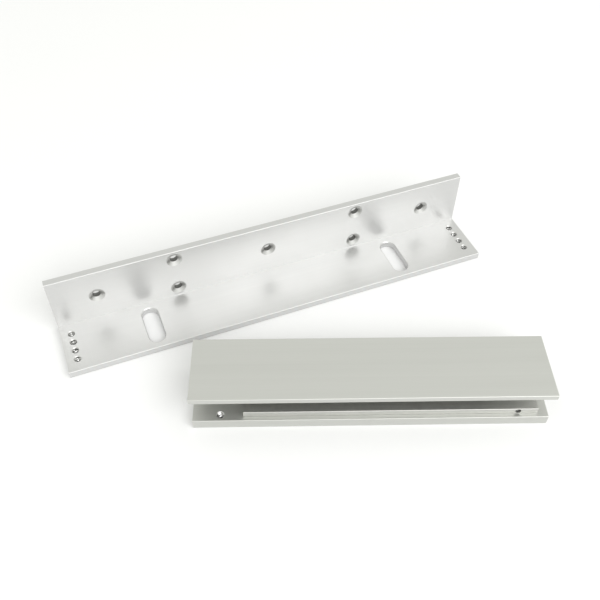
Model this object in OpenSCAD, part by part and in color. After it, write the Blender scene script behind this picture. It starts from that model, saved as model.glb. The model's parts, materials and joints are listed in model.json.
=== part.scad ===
// Bracket set for a surface magnetic door lock.
// An L bracket carries the lock on the door frame. A Z bracket, made of two nested
// angles, carries the armature plate on the door. Both lie on one flat surface.
// Units are millimetres. +X runs along the L bracket, +Z is up.

/* [L bracket] */
// Length of the L bracket
l_length = 250; // [220:1:300]
// Outer width of each of its two legs
l_leg = 38; // [36:0.5:45]
// Wall thickness of the L bracket
l_wall = 4.2; // [3:0.1:5]
// Distance between the two end screw holes
l_end_spacing = 200; // [180:1:205]
// Distance between the two pairs of screw holes
l_pair_spacing = 110; // [90:1:120]
// Distance between the two holes of a pair
l_pair_rise = 22; // [16:1:22]
// Height of the single screw holes above the underside
l_hole_height = 21; // [20:0.5:22]
// Distance between the two cable and mounting slots
l_slot_spacing = 150; // [140:1:160]

/* [Z bracket] */
// Length of the armature angle of the Z bracket
z_length = 180; // [175:1:200]
// Length of the door angle, cut a little longer
door_length = 181.2; // [176:0.2:202]
// Outer depth of the Z bracket, front edge to back face
z_depth = 38; // [36:0.5:42]
// Height of the Z bracket with its two angles closed up
z_height = 24.2; // [23:0.1:27]
// Thickness of the door angle and of both webs
plate = 3.2; // [2.5:0.1:3.2]
// Thickness of the flange that takes the armature plate
base_plate = 6; // [5:0.5:6]
// How far the door angle lifts on its slots
lift_travel = 7; // [4:0.5:8]

/* [Nut bar] */
// Length of the nut bar
bar_length = 149; // [140:1:150]
// Width of the nut bar
bar_width = 24; // [20:0.5:24]
// Thickness of the nut bar
bar_thick = 3.5; // [3:0.5:4]
// How far the nut bar stands off the middle of the Z bracket
bar_offset = 10; // [-15:1:15]
// How far the nut bar slides to each side of the middle
bar_travel = 15; // [5:1:15]

/* [Layout] */
// Overall depth of the two brackets as they lie side by side
set_depth = 154.8; // [150:0.1:200]
// Sideways offset of the Z bracket
z_shift = 18.1; // [-20:0.1:25]
// Angle of the Z bracket to the L bracket
z_yaw = -20.5; // [-25:0.1:-5]

/* [Hidden] */

$fn = 48;
aluminium = [0.80, 0.81, 0.79];
zinc = [0.66, 0.67, 0.68];
cut = 1;                    // how far a cutting shape runs past a face
edge_round = 0.4;           // rounding of every long outer edge
slide_gap = 0.3;            // space between the two sliding webs
rest_gap = 0.1;             // space between the nut bar and the flange under it
thread_gap = 0.03;          // radial clearance of a screw in its own nut

// L bracket
screw_hole_r = 2.25;        // clearance hole of a 4 mm countersunk screw
sink_r = 4.5;               // mouth of its countersink
sink_angle = 118;           // full angle of the drill point that sank it
l_slot_r = 4.6;             // half width of a slot
l_slot_length = 25.7;       // end to end
l_slot_front = 16.6;        // slot centre from the front edge
slot_chamfer = 0.4;
m4_tap_r = 1.65;            // wall of an M4 thread, cut at its minor diameter
m4_mouth_r = 2.1;           // chamfered mouth of that thread
tap_end = 6;                // end holes from the end face
tap_front = 8;              // first end hole from the front edge
tap_pitch = 6.2;
tap_count = 4;
l_back = set_depth / 2;
l_front = l_back - l_leg;

// Z bracket, in its own frame: u along it, v front to back, z up
half = z_length / 2;
z_reach = max(z_length, door_length) / 2;
v_front = -z_depth / 2;
v_back = z_depth / 2;
v_door_web = v_back - plate;
v_base_back = v_door_web - slide_gap;
v_base_web = v_base_back - plate;
web_gap = 0.5;              // space above and below each web
base_height = z_height - plate - web_gap;
z_place_y = -set_depth / 2 + z_reach * sin(abs(z_yaw)) + z_depth / 2 * cos(z_yaw);
base_tap_end = 14;          // tapped hole of the flange from its left end
base_tap_front = 3.7;       // and from its front edge

// Nut bar and its two screws
bar_setback = 2.4;          // front of the bar behind the front of the flange
v_bar = v_front + bar_setback + bar_width / 2;
bar_base = base_plate + rest_gap;
bar_top = bar_base + bar_thick;
m8_tap_r = 3.4;             // wall of an M8 thread, cut at its minor diameter
m8_mouth_r = 3.8;
m8_slot_r = 4.5;            // half width of the flange slot for the M8 bolt
bar_screw_at = 60;          // each bar screw from the middle of the bar
bar_screw_r = 2;
bar_head_r = 3.6;
bar_head_z = 0.6;
bar_head_h = 2.2;
bar_slot_r = 2.25;
bar_groove_r = 4.1;
bar_groove_z = 3.1;
side_hole_r = 1.5;          // small tapped hole in the front face of the bar
side_hole_end = 9.9;        // from the right end of the bar
side_hole_deep = 8;

// The four screws that hold the webs together
screw_us = [-72, -28, 28, 72];
screw_z = 14;
screw_r = 2 - thread_gap;
web_hole_r = 2.2;
web_slot_r = 2.25;
washer_r = 4.5;
washer_thick = 0.8;
washer_gap = 0.2;           // space between a washer and the sliding web
head_r = 3.8;
head_h = 2.2;
hex_r = 1.45;
hex_deep = 1.4;
spring_outer = 3.7;
spring_inner = 2.1;
spring_thick = 1;
spring_split = 0.8;
nut_flats = 7;
nut_thick = 3.2;
screw_end = 1;              // screw standing out of its nut
v_head = v_back + washer_gap + washer_thick;
v_spring = v_base_web - spring_thick;
v_nut = v_spring - nut_thick;

// ---- shared shapes ----

// What is left outside a quarter circle: it rounds the corner at the origin
module corner_cut(r) {
    difference() {
        translate([-cut, -cut]) square(r + cut);
        translate([r, r]) circle(r);
    }
}

// An angle in section: a foot along +x and a leg along +y, with its corner at the origin
module angle_section(foot, leg, foot_wall, leg_wall) {
    difference() {
        union() {
            square([foot, foot_wall]);
            square([leg_wall, leg]);
        }
        corner_cut(edge_round);
        translate([foot, 0]) rotate(90) corner_cut(edge_round);
        translate([foot, foot_wall]) rotate(180) corner_cut(edge_round);
        translate([0, leg]) rotate(-90) corner_cut(edge_round);
        translate([leg_wall, leg]) rotate(180) corner_cut(edge_round);
    }
}

// A section drawn in the y-z plane, drawn out along x and centred
module along_x(length) {
    translate([-length / 2, 0, 0]) rotate([90, 0, 90]) linear_extrude(length) children();
}

// A round-ended slot through z, from z0 to z1, with its long side along x
module slot_x(run, r, z0, z1) {
    translate([0, 0, z0]) linear_extrude(z1 - z0) slot_outline(run, r);
}

module slot_outline(run, r) {
    square([run, 2 * r], center = true);
    for (side = [-1, 1])
        translate([side * run / 2, 0]) circle(r);
}

// A chamfered rim of such a slot: the mouth lies at z = 0 and opens upwards
module slot_rim(run, r, chamfer) {
    for (side = [-1, 1])
        translate([side * run / 2, 0, -chamfer]) cylinder(h = 2 * chamfer, r1 = r, r2 = r + 2 * chamfer);
    rotate([90, 0, 90]) linear_extrude(run, center = true)
        polygon([[-r, -chamfer], [r, -chamfer], [r + 2 * chamfer, chamfer], [-r - 2 * chamfer, chamfer]]);
}

// A threaded hole through a plate from z0 to z1, with chamfered mouths
module tapped(z0, z1, r, mouth) {
    rim = mouth - r;
    translate([0, 0, z0 - cut]) cylinder(h = z1 - z0 + 2 * cut, r = r);
    translate([0, 0, z1 - rim]) cylinder(h = 2 * rim, r1 = r, r2 = mouth + rim);
    translate([0, 0, z0 - rim]) cylinder(h = 2 * rim, r1 = mouth + rim, r2 = r);
}

// ---- L bracket ----

module sunk_hole() {
    rim = sink_r - screw_hole_r;
    sink = rim / tan(sink_angle / 2);
    rotate([-90, 0, 0]) cylinder(h = l_wall + 2 * cut, r = screw_hole_r);
    rotate([-90, 0, 0]) translate([0, 0, cut - sink])
        cylinder(h = 2 * sink, r1 = sink_r + rim, r2 = screw_hole_r);
}

module l_holes() {
    y_in = l_back - l_wall - cut;
    for (side = [-1, 1])
        translate([side * l_end_spacing / 2, y_in, l_hole_height]) sunk_hole();
    for (side = [-1, 1], row = [-1, 1])
        translate([side * l_pair_spacing / 2, y_in, l_hole_height + row * l_pair_rise / 2]) sunk_hole();
    translate([0, y_in, l_hole_height]) sunk_hole();
}

module l_slots() {
    run = l_slot_length - 2 * l_slot_r;
    for (side = [-1, 1])
        translate([side * l_slot_spacing / 2, l_front + l_slot_front, 0]) rotate(90) {
            slot_x(run, l_slot_r, -cut, l_wall + cut);
            translate([0, 0, l_wall]) slot_rim(run, l_slot_r, slot_chamfer);
            mirror([0, 0, 1]) slot_rim(run, l_slot_r, slot_chamfer);
        }
}

module l_end_taps() {
    for (side = [-1, 1], i = [0 : tap_count - 1])
        translate([side * (l_length / 2 - tap_end), l_front + tap_front + i * tap_pitch, 0])
            tapped(0, l_wall, m4_tap_r, m4_mouth_r);
}

module l_bracket() {
    color(aluminium) difference() {
        translate([0, l_back, 0]) along_x(l_length)
            mirror([1, 0]) angle_section(l_leg, l_leg, l_wall, l_wall);
        l_holes();
        l_slots();
        l_end_taps();
    }
}

// ---- Z bracket ----

module z_place() {
    translate([z_shift, z_place_y, 0]) rotate(z_yaw) children();
}

module armature_angle() {
    run = 2 * bar_travel;
    color(aluminium) z_place() difference() {
        translate([0, v_base_back, 0]) along_x(z_length)
            mirror([1, 0]) angle_section(v_base_back - v_front, base_height, base_plate, plate);
        translate([0, v_bar, 0]) slot_x(run, m8_slot_r, -cut, base_plate + cut);
        for (side = [-1, 1]) {
            translate([side * bar_screw_at, v_bar, 0]) slot_x(run, bar_slot_r, -cut, base_plate + cut);
            translate([side * bar_screw_at, v_bar, 0]) slot_x(run, bar_groove_r, -cut, bar_groove_z);
        }
        translate([base_tap_end - half, v_front + base_tap_front, 0])
            tapped(0, base_plate, m4_tap_r, m4_mouth_r);
        for (u = screw_us)
            translate([u, v_base_web - cut, screw_z]) rotate([-90, 0, 0])
                cylinder(h = plate + 2 * cut, r = web_hole_r);
    }
}

module door_angle() {
    color(aluminium) z_place() difference() {
        translate([0, v_back, z_height]) along_x(door_length)
            mirror([1, 0]) mirror([0, 1])
                angle_section(z_depth, z_height - web_gap, plate, plate);
        for (u = screw_us)
            translate([u, v_back + cut, screw_z - lift_travel / 2]) rotate([90, 90, 0])
                slot_x(lift_travel, web_slot_r, 0, plate + 2 * cut);
    }
}

module nut_bar() {
    color(zinc) z_place() translate([bar_offset, v_bar, 0]) difference() {
        along_x(bar_length) difference() {
            translate([-bar_width / 2, bar_base]) square([bar_width, bar_thick]);
            translate([-bar_width / 2, bar_top]) rotate(-90) corner_cut(edge_round);
            translate([bar_width / 2, bar_top]) rotate(180) corner_cut(edge_round);
        }
        tapped(bar_base, bar_top, m8_tap_r, m8_mouth_r);
        for (side = [-1, 1])
            translate([side * bar_screw_at, 0, bar_base - cut])
                cylinder(h = bar_thick + 2 * cut, r = bar_screw_r + thread_gap);
        translate([bar_length / 2 - side_hole_end, -bar_width / 2 - cut, (bar_base + bar_top) / 2])
            rotate([-90, 0, 0]) cylinder(h = side_hole_deep + cut, r = side_hole_r);
    }
}

module bar_screw(side) {
    color(zinc) z_place() translate([bar_offset + side * bar_screw_at, v_bar, 0]) difference() {
        union() {
            translate([0, 0, bar_head_z]) cylinder(h = bar_head_h, r = bar_head_r);
            translate([0, 0, bar_head_z]) cylinder(h = bar_top - bar_head_z, r = bar_screw_r);
        }
        translate([0, 0, bar_head_z - cut]) cylinder(h = hex_deep + cut, r = hex_r / cos(30), $fn = 6);
    }
}

module bar_screw_left() { bar_screw(-1); }
module bar_screw_right() { bar_screw(1); }

// ---- fasteners of the two webs, drawn on an axis that runs front to back ----

module on_web(i, v) {
    z_place() translate([screw_us[i], v, screw_z]) rotate([-90, 0, 0]) children();
}

module web_screw(i) {
    dome = (head_r * head_r + head_h * head_h) / (2 * head_h);
    color(zinc) on_web(i, v_head) difference() {
        union() {
            intersection() {
                cylinder(h = head_h, r = head_r);
                translate([0, 0, head_h - dome]) sphere(dome);
            }
            translate([0, 0, v_nut - screw_end - v_head])
                cylinder(h = v_head - v_nut + screw_end, r = screw_r);
        }
        translate([0, 0, head_h - hex_deep]) cylinder(h = hex_deep + cut, r = hex_r / cos(30), $fn = 6);
    }
}

module web_washer(i) {
    color(zinc) on_web(i, v_back + washer_gap) difference() {
        cylinder(h = washer_thick, r = washer_r);
        translate([0, 0, -cut]) cylinder(h = washer_thick + 2 * cut, r = web_hole_r);
    }
}

module spring_washer(i) {
    color(zinc) on_web(i, v_spring) difference() {
        cylinder(h = spring_thick, r = spring_outer);
        translate([0, 0, -cut]) cylinder(h = spring_thick + 2 * cut, r = spring_inner);
        rotate([0, 25, 0]) translate([0, -spring_outer - cut, -spring_thick])
            cube([spring_split, spring_outer + cut, 4 * spring_thick]);
    }
}

module web_nut(i) {
    corner = nut_flats / 2 / cos(30);
    color(zinc) on_web(i, v_nut) difference() {
        intersection() {
            cylinder(h = nut_thick, r = corner, $fn = 6);
            cylinder(h = nut_thick, r1 = nut_flats / 2, r2 = nut_flats / 2 + nut_thick * 2);
        }
        translate([0, 0, -cut]) cylinder(h = nut_thick + 2 * cut, r = screw_r + thread_gap);
    }
}

module web_screw_1() { web_screw(0); }
module web_screw_2() { web_screw(1); }
module web_screw_3() { web_screw(2); }
module web_screw_4() { web_screw(3); }
module web_washer_1() { web_washer(0); }
module web_washer_2() { web_washer(1); }
module web_washer_3() { web_washer(2); }
module web_washer_4() { web_washer(3); }
module spring_washer_1() { spring_washer(0); }
module spring_washer_2() { spring_washer(1); }
module spring_washer_3() { spring_washer(2); }
module spring_washer_4() { spring_washer(3); }
module web_nut_1() { web_nut(0); }
module web_nut_2() { web_nut(1); }
module web_nut_3() { web_nut(2); }
module web_nut_4() { web_nut(3); }

l_bracket();
armature_angle();
door_angle();
nut_bar();
bar_screw_left();
bar_screw_right();
web_screw_1();
web_screw_2();
web_screw_3();
web_screw_4();
web_washer_1();
web_washer_2();
web_washer_3();
web_washer_4();
spring_washer_1();
spring_washer_2();
spring_washer_3();
spring_washer_4();
web_nut_1();
web_nut_2();
web_nut_3();
web_nut_4();
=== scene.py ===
"""Looks for the magnetic door lock's bracket set: an L bracket and an adjustable Z bracket."""
import json
import math

import bpy
from mathutils import Matrix, Quaternion, Vector


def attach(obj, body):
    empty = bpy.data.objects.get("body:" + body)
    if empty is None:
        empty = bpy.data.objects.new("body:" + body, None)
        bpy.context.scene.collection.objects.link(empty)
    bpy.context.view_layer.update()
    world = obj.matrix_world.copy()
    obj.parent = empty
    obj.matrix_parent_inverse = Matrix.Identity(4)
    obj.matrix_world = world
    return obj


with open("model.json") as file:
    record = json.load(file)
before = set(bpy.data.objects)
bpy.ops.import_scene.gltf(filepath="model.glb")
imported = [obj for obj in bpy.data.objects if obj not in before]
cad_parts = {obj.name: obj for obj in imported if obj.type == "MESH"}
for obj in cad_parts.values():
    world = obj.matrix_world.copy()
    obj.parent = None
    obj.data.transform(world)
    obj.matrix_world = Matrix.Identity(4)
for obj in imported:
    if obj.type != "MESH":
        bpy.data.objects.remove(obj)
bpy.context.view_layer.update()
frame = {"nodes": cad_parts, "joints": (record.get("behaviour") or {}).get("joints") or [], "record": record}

NODES = frame["nodes"]

# ---------------------------------------------------------------- driving values, in metres
MM = 0.001
BAR_JOINT = next(j for j in frame["joints"] if j["name"] == "nut_bar_slide")
Z_YAW = math.atan2(BAR_JOINT["axis"][1], BAR_JOINT["axis"][0])

WALL_CLEAR = 0.02 * MM          # how deep a thread's foot sits in the wall of its hole
SINK_RADIUS = 4.5 * MM          # mouth of the L bracket's countersunk holes
SINK_PAINTED_REFLECTIONS = ((-2.9 * MM, -0.9 * MM), (2.5 * MM, 0.1 * MM))  # painted dark reflections in a mouth: along, up
# size of each painted dark reflection
PAINTED_REFLECTION_RADIUS = 1.9 * MM
TAP_MOUTH = 2.1 * MM            # chamfered mouth of an M4 thread
SIDE_HOLE = (64.6 * MM, -12.0 * MM)  # the nut bar's side hole from its thread: along it, inwards
SIDE_HOLE_RADIUS = 1.5 * MM
SIDE_THREAD_IN = 1.2 * MM       # how far the side hole's thread starts inside the bar
SIDE_THREAD_LENGTH = 6.0 * MM
TAP_MOUTH_DEPTH = 0.45 * MM     # unthreaded length at each end of the L bracket's taps

M4_PITCH, M4_RIDGE = 0.7 * MM, 0.30 * MM      # a ridge's height is what stands in the plain bore
M8_PITCH, M8_RIDGE = 1.25 * MM, 0.55 * MM
SIDE_PITCH, SIDE_RIDGE = 0.5 * MM, 0.25 * MM
STEPS_IN_TURN = 28

PLAIN = (1.0, 1.0, 1.0)         # coordinates left in metres
SUNK_METAL = (0.60, 0.60, 0.59)
# painted shade inside the bores
BORE_PAINTED_SHADE = (0.16, 0.16, 0.155)
# colour of the painted dark reflections in the sunk mouths
PAINTED_REFLECTION_METAL = (0.22, 0.22, 0.21)
RING_PITCH = 0.5 * MM           # spacing of the rings that a drill leaves

L_SKIN = (0.668, 0.668, 0.665), (0.638, 0.638, 0.635), 0.41     # light, dark, roughness
Z_SKIN = (0.625, 0.63, 0.605), (0.59, 0.595, 0.57), 0.46
BAR_SKIN = (0.62, 0.62, 0.60), (0.55, 0.55, 0.53), 0.46
SMALL_SKIN = (0.64, 0.66, 0.69), (0.50, 0.52, 0.55), 0.26
# thread colours: painted glints and painted shade in small patches
ALUMINIUM_THREAD_GLINTS = (0.80, 0.80, 0.79), (0.07, 0.07, 0.07)          # painted glint colour, painted shade colour
STEEL_THREAD_GLINTS = (0.34, 0.34, 0.33), (0.12, 0.12, 0.115)

CAMERA_AT = Vector((-0.0999, -0.2203, 0.3244))
CAMERA_LOOK = Vector((0.2523, 0.6152, -0.7470))
CAMERA_ROLL = 0.0137
LENS_MM = 44.49
SENSOR_MM = 36.0

KEY_AT = (0.385, -1.436, 1.338)
KEY_SIZE = (1.9, 1.0)
KEY_WATTS = 23.5
SKY_COLOUR = (0.992, 1.0, 0.955, 1.0)
SKY_STRENGTH = 0.92

FLOOR_HALF = 3.0
FLOOR_DROP = 0.05 * MM


def mount(name):
    """The place and the dimensions of one of the record's mounts."""
    found = next(m for m in frame["record"]["mounts"] if m["name"] == name)
    return Vector(found["pos_m"]), found["dims"]


def pattern(name, second):
    """The centres of a pattern of holes, whose second direction in the face is given."""
    place, dims = mount(name)
    half_x = dims.get("spacing_x_mm", 0) * MM / 2
    half_y = dims.get("spacing_y_mm", 0) * MM / 2
    shifts_x = (-half_x, half_x) if half_x else (0,)
    shifts_y = (-half_y, half_y) if half_y else (0,)
    return [place + Vector((x, 0, 0)) + Vector(second) * y for x in shifts_x for y in shifts_y]


# ---------------------------------------------------------------- node helpers
def new_material(name):
    material = bpy.data.materials.new(name)
    material.use_nodes = True
    tree = material.node_tree
    return material, tree, tree.nodes["Principled BSDF"]


def add(tree, kind, **values):
    """A node with its properties set."""
    node = tree.nodes.new(kind)
    for key, value in values.items():
        setattr(node, key, value)
    return node


def link(tree, source, target):
    tree.links.new(source, target)


def mapped(tree, yaw, scale):
    """Coordinates in metres, turned so that x runs along the bracket, then scaled."""
    place = add(tree, "ShaderNodeTexCoord")
    turn = add(tree, "ShaderNodeMapping", vector_type="POINT")
    turn.inputs["Rotation"].default_value = (0, 0, -yaw)
    stretch = add(tree, "ShaderNodeVectorMath", operation="MULTIPLY")
    stretch.inputs[1].default_value = scale
    link(tree, place.outputs["Object"], turn.inputs["Vector"])
    link(tree, turn.outputs["Vector"], stretch.inputs[0])
    return stretch.outputs["Vector"]


def noise(tree, vector, scale, detail=3.0, rough=0.55, distortion=0.0):
    node = add(tree, "ShaderNodeTexNoise", noise_dimensions="3D")
    node.inputs["Scale"].default_value = scale
    node.inputs["Detail"].default_value = detail
    node.inputs["Roughness"].default_value = rough
    node.inputs["Distortion"].default_value = distortion
    link(tree, vector, node.inputs["Vector"])
    return node.outputs["Fac"]


def spread(tree, value, low, high, to_low, to_high):
    """Maps value from low..high to to_low..to_high, clamped."""
    node = add(tree, "ShaderNodeMapRange", clamp=True)
    ends = (("From Min", low), ("From Max", high), ("To Min", to_low), ("To Max", to_high))
    for key, number in ends:
        node.inputs[key].default_value = number
    link(tree, value, node.inputs["Value"])
    return node.outputs["Result"]


def maths(tree, operation, first, second):
    """An operation on two numbers or sockets."""
    node = add(tree, "ShaderNodeMath", operation=operation)
    for socket, value in zip(node.inputs, (first, second)):
        if isinstance(value, (int, float)):
            socket.default_value = value
        else:
            link(tree, value, socket)
    return node.outputs["Value"]


def blend_colour(tree, factor, first, second):
    """Mixes two colours or colour sockets: the first at factor 0, the second at factor 1."""
    node = add(tree, "ShaderNodeMix", data_type="RGBA")
    for socket, value in ((node.inputs[6], first), (node.inputs[7], second)):
        if isinstance(value, tuple):
            socket.default_value = (*value, 1.0)
        else:
            link(tree, value, socket)
    link(tree, factor, node.inputs[0])
    return node.outputs[2]


def wear_and_highlight_mask(tree, radius):
    """1 on outer edges, which get wear and a painted highlight, 0 on flat faces and in inner corners.

    A rounded normal leaves the true one at every edge, and an inner corner is the shaded kind.
    """
    rounded = add(tree, "ShaderNodeBevel", samples=4)
    rounded.inputs["Radius"].default_value = radius
    true = add(tree, "ShaderNodeNewGeometry")
    dot = add(tree, "ShaderNodeVectorMath", operation="DOT_PRODUCT")
    link(tree, rounded.outputs["Normal"], dot.inputs[0])
    link(tree, true.outputs["Normal"], dot.inputs[1])
    wear_and_highlight = spread(tree, dot.outputs["Value"], 0.75, 0.995, 1.0, 0.0)
    shade = add(tree, "ShaderNodeAmbientOcclusion", samples=4, only_local=True)
    shade.inputs["Distance"].default_value = 4 * radius
    return maths(tree, "MULTIPLY", wear_and_highlight, spread(tree, shade.outputs["AO"], 0.75, 0.95, 0.0, 1.0))


def bump(tree, shader, height, strength, distance):
    node = add(tree, "ShaderNodeBump")
    node.inputs["Strength"].default_value = strength
    node.inputs["Distance"].default_value = distance
    link(tree, height, node.inputs["Height"])
    link(tree, node.outputs["Normal"], shader.inputs["Normal"])


# ---------------------------------------------------------------- materials
def axis_distance(tree, centres, axis):
    """Distance to the nearest of several parallel lines through centres along X, Y or Z."""
    keep = [0 if letter == axis else 1 for letter in "XYZ"]
    place = add(tree, "ShaderNodeTexCoord")
    flat = add(tree, "ShaderNodeVectorMath", operation="MULTIPLY")
    flat.inputs[1].default_value = keep
    link(tree, place.outputs["Object"], flat.inputs[0])
    nearest = None
    for centre in centres:
        gap = add(tree, "ShaderNodeVectorMath", operation="DISTANCE")
        gap.inputs[1].default_value = [c * k for c, k in zip(centre, keep)]
        link(tree, flat.outputs["Vector"], gap.inputs[0])
        found = gap.outputs["Value"]
        nearest = found if nearest is None else maths(tree, "MINIMUM", nearest, found)
    return nearest


def painted_reflection_mask(tree, centres, axis, painted_reflections, sunk):
    """Ragged painted dark reflections inside the sunk mouths, at the same places in each."""
    reflection_centres = [centre + Vector((x, 0, z)) for centre in centres for x, z in painted_reflections]
    gap = axis_distance(tree, reflection_centres, axis)
    ragged = noise(tree, mapped(tree, 0.0, PLAIN), 900.0, detail=2.0)
    gap = maths(tree, "ADD", gap, spread(tree, ragged, 0.3, 0.7, -0.5 * MM, 0.5 * MM))
    patch = spread(tree, gap, 0.3 * PAINTED_REFLECTION_RADIUS, PAINTED_REFLECTION_RADIUS, 0.8, 0.0)
    return maths(tree, "MULTIPLY", sunk, patch)


def hole_shade_and_drill_rings(tree, colour, rough, tone, holes):
    """Painted shade darkens the bores and painted dark reflections mark the sunk mouths, which are also a
    little darker and rougher; the drill's rings are bumps in the bores.
    """
    centres, axis, radius, mouth, face, painted_reflections = holes
    distance = axis_distance(tree, centres, axis)
    place = add(tree, "ShaderNodeTexCoord")
    split = add(tree, "ShaderNodeSeparateXYZ")
    link(tree, place.outputs["Object"], split.inputs[0])
    depth = split.outputs[axis]
    within = maths(tree, "LESS_THAN", depth, face - 0.02 * MM)
    in_mouth = spread(tree, distance, mouth - 0.02 * MM, mouth, 1.0, 0.0)
    in_bore = spread(tree, distance, radius, radius + 0.05 * MM, 1.0, 0.0)
    sunk = maths(tree, "MULTIPLY", within, in_mouth)
    bore = maths(tree, "MULTIPLY", within, in_bore)
    ring = maths(tree, "SINE", maths(tree, "MULTIPLY", depth, math.tau / RING_PITCH), 0.0)
    colour = blend_colour(tree, sunk, colour, SUNK_METAL)
    # painted dark reflections in the sunk mouths
    if painted_reflections:
        colour = blend_colour(tree, painted_reflection_mask(tree, centres, axis, painted_reflections, sunk), colour, PAINTED_REFLECTION_METAL)
    # painted shade darkens the bores
    colour = blend_colour(tree, bore, colour, BORE_PAINTED_SHADE)
    rough = maths(tree, "ADD", rough, maths(tree, "MULTIPLY", sunk, 0.06))
    rings = maths(tree, "MULTIPLY", bore, ring)
    tone = maths(tree, "ADD", tone, maths(tree, "MULTIPLY", rings, 3.0))
    return colour, rough, tone


def anodised(name, yaw, light, dark, rough, drilled):
    """Drawn aluminium, etched and clear anodised: grain along its length, cloudy sheen, a few rubs."""
    material, tree, shader = new_material(name)
    grain = noise(tree, mapped(tree, yaw, (14.0, 1500.0, 1500.0)), 1.0, detail=5.0, rough=0.7)
    lines = noise(tree, mapped(tree, yaw, (3.0, 260.0, 260.0)), 1.0, detail=2.0)
    cloud = noise(tree, mapped(tree, yaw, (1.0, 1.6, 1.6)), 22.0, detail=4.0)
    rubs = noise(tree, mapped(tree, yaw + 0.35, (60.0, 900.0, 300.0)), 1.0, detail=1.0, distortion=0.6)
    rubbed = spread(tree, rubs, 0.70, 0.76, 0.0, 1.0)
    wear_and_highlight = wear_and_highlight_mask(tree, 0.35 * MM)
    tone = maths(tree, "ADD", maths(tree, "MULTIPLY", grain, 0.45), maths(tree, "MULTIPLY", lines, 0.55))
    colour = blend_colour(tree, spread(tree, tone, 0.35, 0.65, 0.0, 1.0), dark, light)
    cloudy = tuple(0.97 * c for c in light)
    colour = blend_colour(tree, spread(tree, cloud, 0.40, 0.75, 0.0, 0.5), colour, cloudy)
    # wear and a painted highlight on outer edges: lighter colour, lower roughness
    worn_highlight_colour = tuple(1.08 * c for c in light)
    colour = blend_colour(tree, wear_and_highlight, colour, worn_highlight_colour)
    uneven = maths(tree, "ADD", spread(tree, tone, 0.3, 0.7, rough - 0.03, rough + 0.03),
                   spread(tree, cloud, 0.3, 0.7, -0.02, 0.03))
    uneven = maths(tree, "ADD", uneven, maths(tree, "MULTIPLY", rubbed, 0.05))
    uneven = maths(tree, "SUBTRACT", uneven, maths(tree, "MULTIPLY", wear_and_highlight, 0.06))
    for holes in drilled:
        colour, uneven, tone = hole_shade_and_drill_rings(tree, colour, uneven, tone, holes)
    link(tree, colour, shader.inputs["Base Color"])
    link(tree, uneven, shader.inputs["Roughness"])
    shader.inputs["Metallic"].default_value = 0.88
    bump(tree, shader, tone, 0.12, 0.02 * MM)
    return material


def plated(name, yaw, light, dark, rough, grain_scale):
    """Bright zinc plate over steel: fine tumbled or ground grain and a faint mottled tint."""
    material, tree, shader = new_material(name)
    grain = noise(tree, mapped(tree, yaw, grain_scale), 1.0, detail=4.0, rough=0.65)
    mottle = noise(tree, mapped(tree, yaw, PLAIN), 420.0, detail=3.0)
    wear_and_highlight = wear_and_highlight_mask(tree, 0.2 * MM)
    tone = maths(tree, "ADD", maths(tree, "MULTIPLY", grain, 0.6), maths(tree, "MULTIPLY", mottle, 0.4))
    colour = blend_colour(tree, spread(tree, tone, 0.38, 0.62, 0.0, 1.0), dark, light)
    # wear and a painted highlight on outer edges: lighter colour
    worn_highlight_colour = tuple(1.12 * c for c in light)
    colour = blend_colour(tree, wear_and_highlight, colour, worn_highlight_colour)
    link(tree, colour, shader.inputs["Base Color"])
    uneven = spread(tree, tone, 0.3, 0.7, rough - 0.05, rough + 0.07)
    link(tree, uneven, shader.inputs["Roughness"])
    shader.inputs["Metallic"].default_value = 1.0
    bump(tree, shader, tone, 0.15, 0.03 * MM)
    return material


def glinting_thread_metal(name, light, dark):
    """Freshly cut metal with painted glints and painted shade in small patches."""
    material, tree, shader = new_material(name)
    glint_patches = noise(tree, mapped(tree, 0.0, PLAIN), 1100.0, detail=3.0, rough=0.6)
    # painted glints and painted shade in small patches
    colour = blend_colour(tree, spread(tree, glint_patches, 0.46, 0.54, 0.0, 1.0), dark, light)
    link(tree, colour, shader.inputs["Base Color"])
    link(tree, spread(tree, glint_patches, 0.3, 0.7, 0.16, 0.32), shader.inputs["Roughness"])
    shader.inputs["Metallic"].default_value = 1.0
    bump(tree, shader, glint_patches, 0.1, 0.02 * MM)
    return material


def floor_material():
    """A pale, faintly uneven studio sweep."""
    material, tree, shader = new_material("studio_floor")
    patch = noise(tree, mapped(tree, 0.0, PLAIN), 6.0, detail=2.0)
    colour = blend_colour(tree, patch, (0.86, 0.86, 0.87), (0.88, 0.88, 0.89))
    link(tree, colour, shader.inputs["Base Color"])
    shader.inputs["Roughness"].default_value = 0.9
    shader.inputs["Specular IOR Level"].default_value = 0.1
    return material


def dress(material, *names):
    """Puts one material on CAD nodes."""
    for name in names:
        mesh = NODES[name].data
        mesh.materials.clear()
        mesh.materials.append(material)


def l_taps():
    """The centres of the L bracket's tapped holes."""
    return pattern("l_end_taps_outer", (0, 1, 0)) + pattern("l_end_taps_inner", (0, 1, 0))


def l_holes():
    """The L bracket's holes: sunk ones through its upright leg, tapped ones through its flat leg."""
    sunk = pattern("l_end_holes", (0, 0, 1)) + pattern("l_paired_holes", (0, 0, 1))
    sunk.append(mount("l_centre_hole")[0])
    taps = l_taps()
    sunk_radius = mount("l_centre_hole")[1]["r_mm"] * MM
    tap_radius = mount("l_end_taps_outer")[1]["hole_r_mm"] * MM
    return ((sunk, "Y", sunk_radius, SINK_RADIUS, mount("l_back_face")[0].y, SINK_PAINTED_REFLECTIONS),
            (taps, "Z", tap_radius, TAP_MOUTH, mount("l_seat_face")[0].z, ()))


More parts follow.
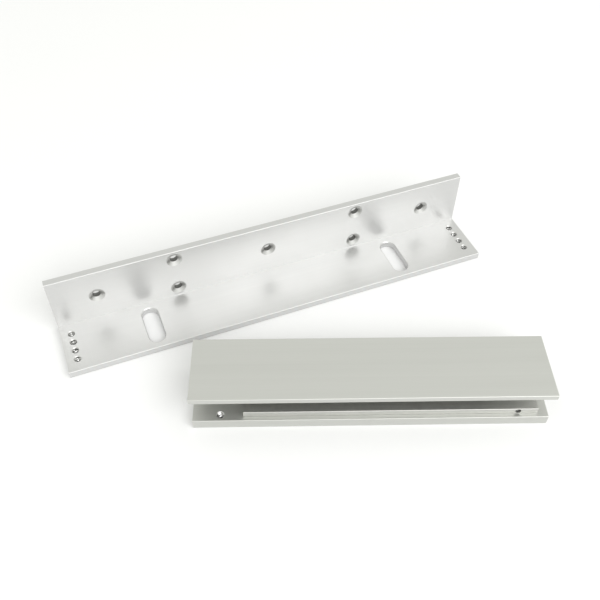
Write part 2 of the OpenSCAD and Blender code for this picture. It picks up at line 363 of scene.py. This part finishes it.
def dress_all():
    """Puts the metals on the CAD nodes."""
    tap, dims = mount("z_end_tap")
    flange_top = 2 * tap.z
    z_holes = (([tap], "Z", dims["r_mm"] * MM, TAP_MOUTH, flange_top, ()),)
    dress(anodised("l_aluminium", 0.0, *L_SKIN, l_holes()), "l_bracket")
    dress(anodised("z_aluminium", Z_YAW, *Z_SKIN, z_holes), "armature_angle", "door_angle")
    dress(plated("bar_zinc", Z_YAW, *BAR_SKIN, (20.0, 1300.0, 1300.0)), "nut_bar")
    small = plated("fastener_zinc", 0.0, *SMALL_SKIN, (900.0, 900.0, 900.0))
    dress(small, *[n for n in NODES if "screw" in n or "washer" in n or "_nut_" in n])


# ---------------------------------------------------------------- cut threads
def thread_rings(radius, depth, pitch, length):
    """Rings of four points up a helical ridge that stands inwards from the wall of a hole."""
    foot_half, crest_half = 0.40 * pitch, 0.07 * pitch
    steps = round((length - 2 * foot_half) / pitch * STEPS_IN_TURN)
    for i in range(steps + 1):
        turn = math.tau * i / STEPS_IN_TURN
        rise = foot_half + i * pitch / STEPS_IN_TURN
        run_in = STEPS_IN_TURN / 3
        fade = min(1.0, (i + 1) / run_in, (steps - i + 1) / run_in)
        outer, inner = radius + WALL_CLEAR, radius - depth * fade
        section = ((outer, -foot_half), (inner, -crest_half), (inner, crest_half), (outer, foot_half))
        for reach, lift in section:
            yield Vector((reach * math.cos(turn), reach * math.sin(turn), rise + lift))


def thread(name, foot, axis, radius, depth, pitch, length, body, slot, material):
    """A cut thread: foot is the middle of the end that it starts from, and axis points along it."""
    turned = Vector((0, 0, 1)).rotation_difference(Vector(axis)).to_matrix().to_4x4()
    place = Matrix.Translation(foot) @ turned
    points = [place @ p for p in thread_rings(radius, depth, pitch, length)]
    last = len(points) - 4
    faces = [(3, 2, 1, 0), (last, last + 1, last + 2, last + 3)]
    for ring in range(0, last, 4):
        for side in range(4):
            after = (side + 1) % 4
            faces.append((ring + side, ring + after, ring + 4 + after, ring + 4 + side))
    mesh = bpy.data.meshes.new(name)
    mesh.from_pydata(points, [], faces)
    mesh.materials.append(material)
    piece = bpy.data.objects.new(name, mesh)
    bpy.context.scene.collection.objects.link(piece)
    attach(piece, body)


def build_threads():
    """The threads in the L bracket's taps, the flange's end tap, the nut bar and its side hole."""
    aluminium = glinting_thread_metal("aluminium_thread_glints", *ALUMINIUM_THREAD_GLINTS)
    steel = glinting_thread_metal("steel_thread_glints", *STEEL_THREAD_GLINTS)
    in_aluminium, in_steel = ("anodised_aluminium", aluminium), ("plated_steel", steel)
    up = (0, 0, 1)
    length = mount("l_seat_face")[0].z - 2 * TAP_MOUTH_DEPTH
    tap_radius = mount("l_end_taps_outer")[1]["hole_r_mm"] * MM
    for number, centre in enumerate(sorted(l_taps(), key=lambda c: (c.x, c.y)), 1):
        foot = Vector((centre.x, centre.y, TAP_MOUTH_DEPTH))
        thread(f"l_thread_{number}", foot, up, tap_radius, M4_RIDGE, M4_PITCH, length,
               "l_body", *in_aluminium)
    for name, mount_name, depth, pitch, body, finish in (
            ("z_end_thread", "z_end_tap", M4_RIDGE, M4_PITCH, "z_base", in_aluminium),
            ("bar_m8_thread", "armature_thread", M8_RIDGE, M8_PITCH, "z_bar", in_steel)):
        middle, dims = mount(mount_name)
        length = dims["length_mm"] * MM
        foot = middle - Vector((0, 0, length / 2))
        thread(name, foot, up, dims["r_mm"] * MM, depth, pitch, length, body, *finish)
    along = Vector(BAR_JOINT["axis"])
    inwards = Vector((-along.y, along.x, 0))
    mouth_at = mount("armature_thread")[0] + along * SIDE_HOLE[0] + inwards * SIDE_HOLE[1]
    thread("bar_side_thread", mouth_at + inwards * SIDE_THREAD_IN, inwards, SIDE_HOLE_RADIUS,
           SIDE_RIDGE, SIDE_PITCH, SIDE_THREAD_LENGTH, "z_bar", *in_steel)


# ---------------------------------------------------------------- stage
def build_floor():
    mesh = bpy.data.meshes.new("floor")
    corners = [(-1, -1), (1, -1), (1, 1), (-1, 1)]
    points = [(x * FLOOR_HALF, y * FLOOR_HALF, -FLOOR_DROP) for x, y in corners]
    mesh.from_pydata(points, [], [(0, 1, 2, 3)])
    floor = bpy.data.objects.new("floor", mesh)
    bpy.context.scene.collection.objects.link(floor)
    mesh.materials.append(floor_material())


def softbox(name, at, aim, size, watts):
    """A rectangular area light at one point, turned to another."""
    data = bpy.data.lights.new(name, "AREA")
    data.shape = "RECTANGLE"
    data.size, data.size_y = size
    data.energy = watts
    lamp = bpy.data.objects.new(name, data)
    lamp.location = at
    lamp.rotation_euler = (Vector(aim) - Vector(at)).to_track_quat("-Z", "Y").to_euler()
    bpy.context.scene.collection.objects.link(lamp)


def build_light():
    world = bpy.data.worlds.new("studio")
    world.use_nodes = True
    sky = world.node_tree.nodes["Background"]
    sky.inputs["Color"].default_value = SKY_COLOUR
    sky.inputs["Strength"].default_value = SKY_STRENGTH
    bpy.context.scene.world = world
    softbox("key_softbox", KEY_AT, (0, 0, 0), KEY_SIZE, KEY_WATTS)
    bpy.context.scene.view_settings.view_transform = "Standard"


def build_camera():
    data = bpy.data.cameras.new("camera")
    data.sensor_width = SENSOR_MM
    data.lens = LENS_MM
    data.clip_start = 0.01
    camera = bpy.data.objects.new("camera", data)
    camera.location = CAMERA_AT
    roll = Quaternion((0, 0, 1), CAMERA_ROLL)
    camera.rotation_euler = (CAMERA_LOOK.to_track_quat("-Z", "Y") @ roll).to_euler()
    bpy.context.scene.collection.objects.link(camera)
    bpy.context.scene.camera = camera


build_camera()
build_light()
build_floor()
dress_all()
build_threads()
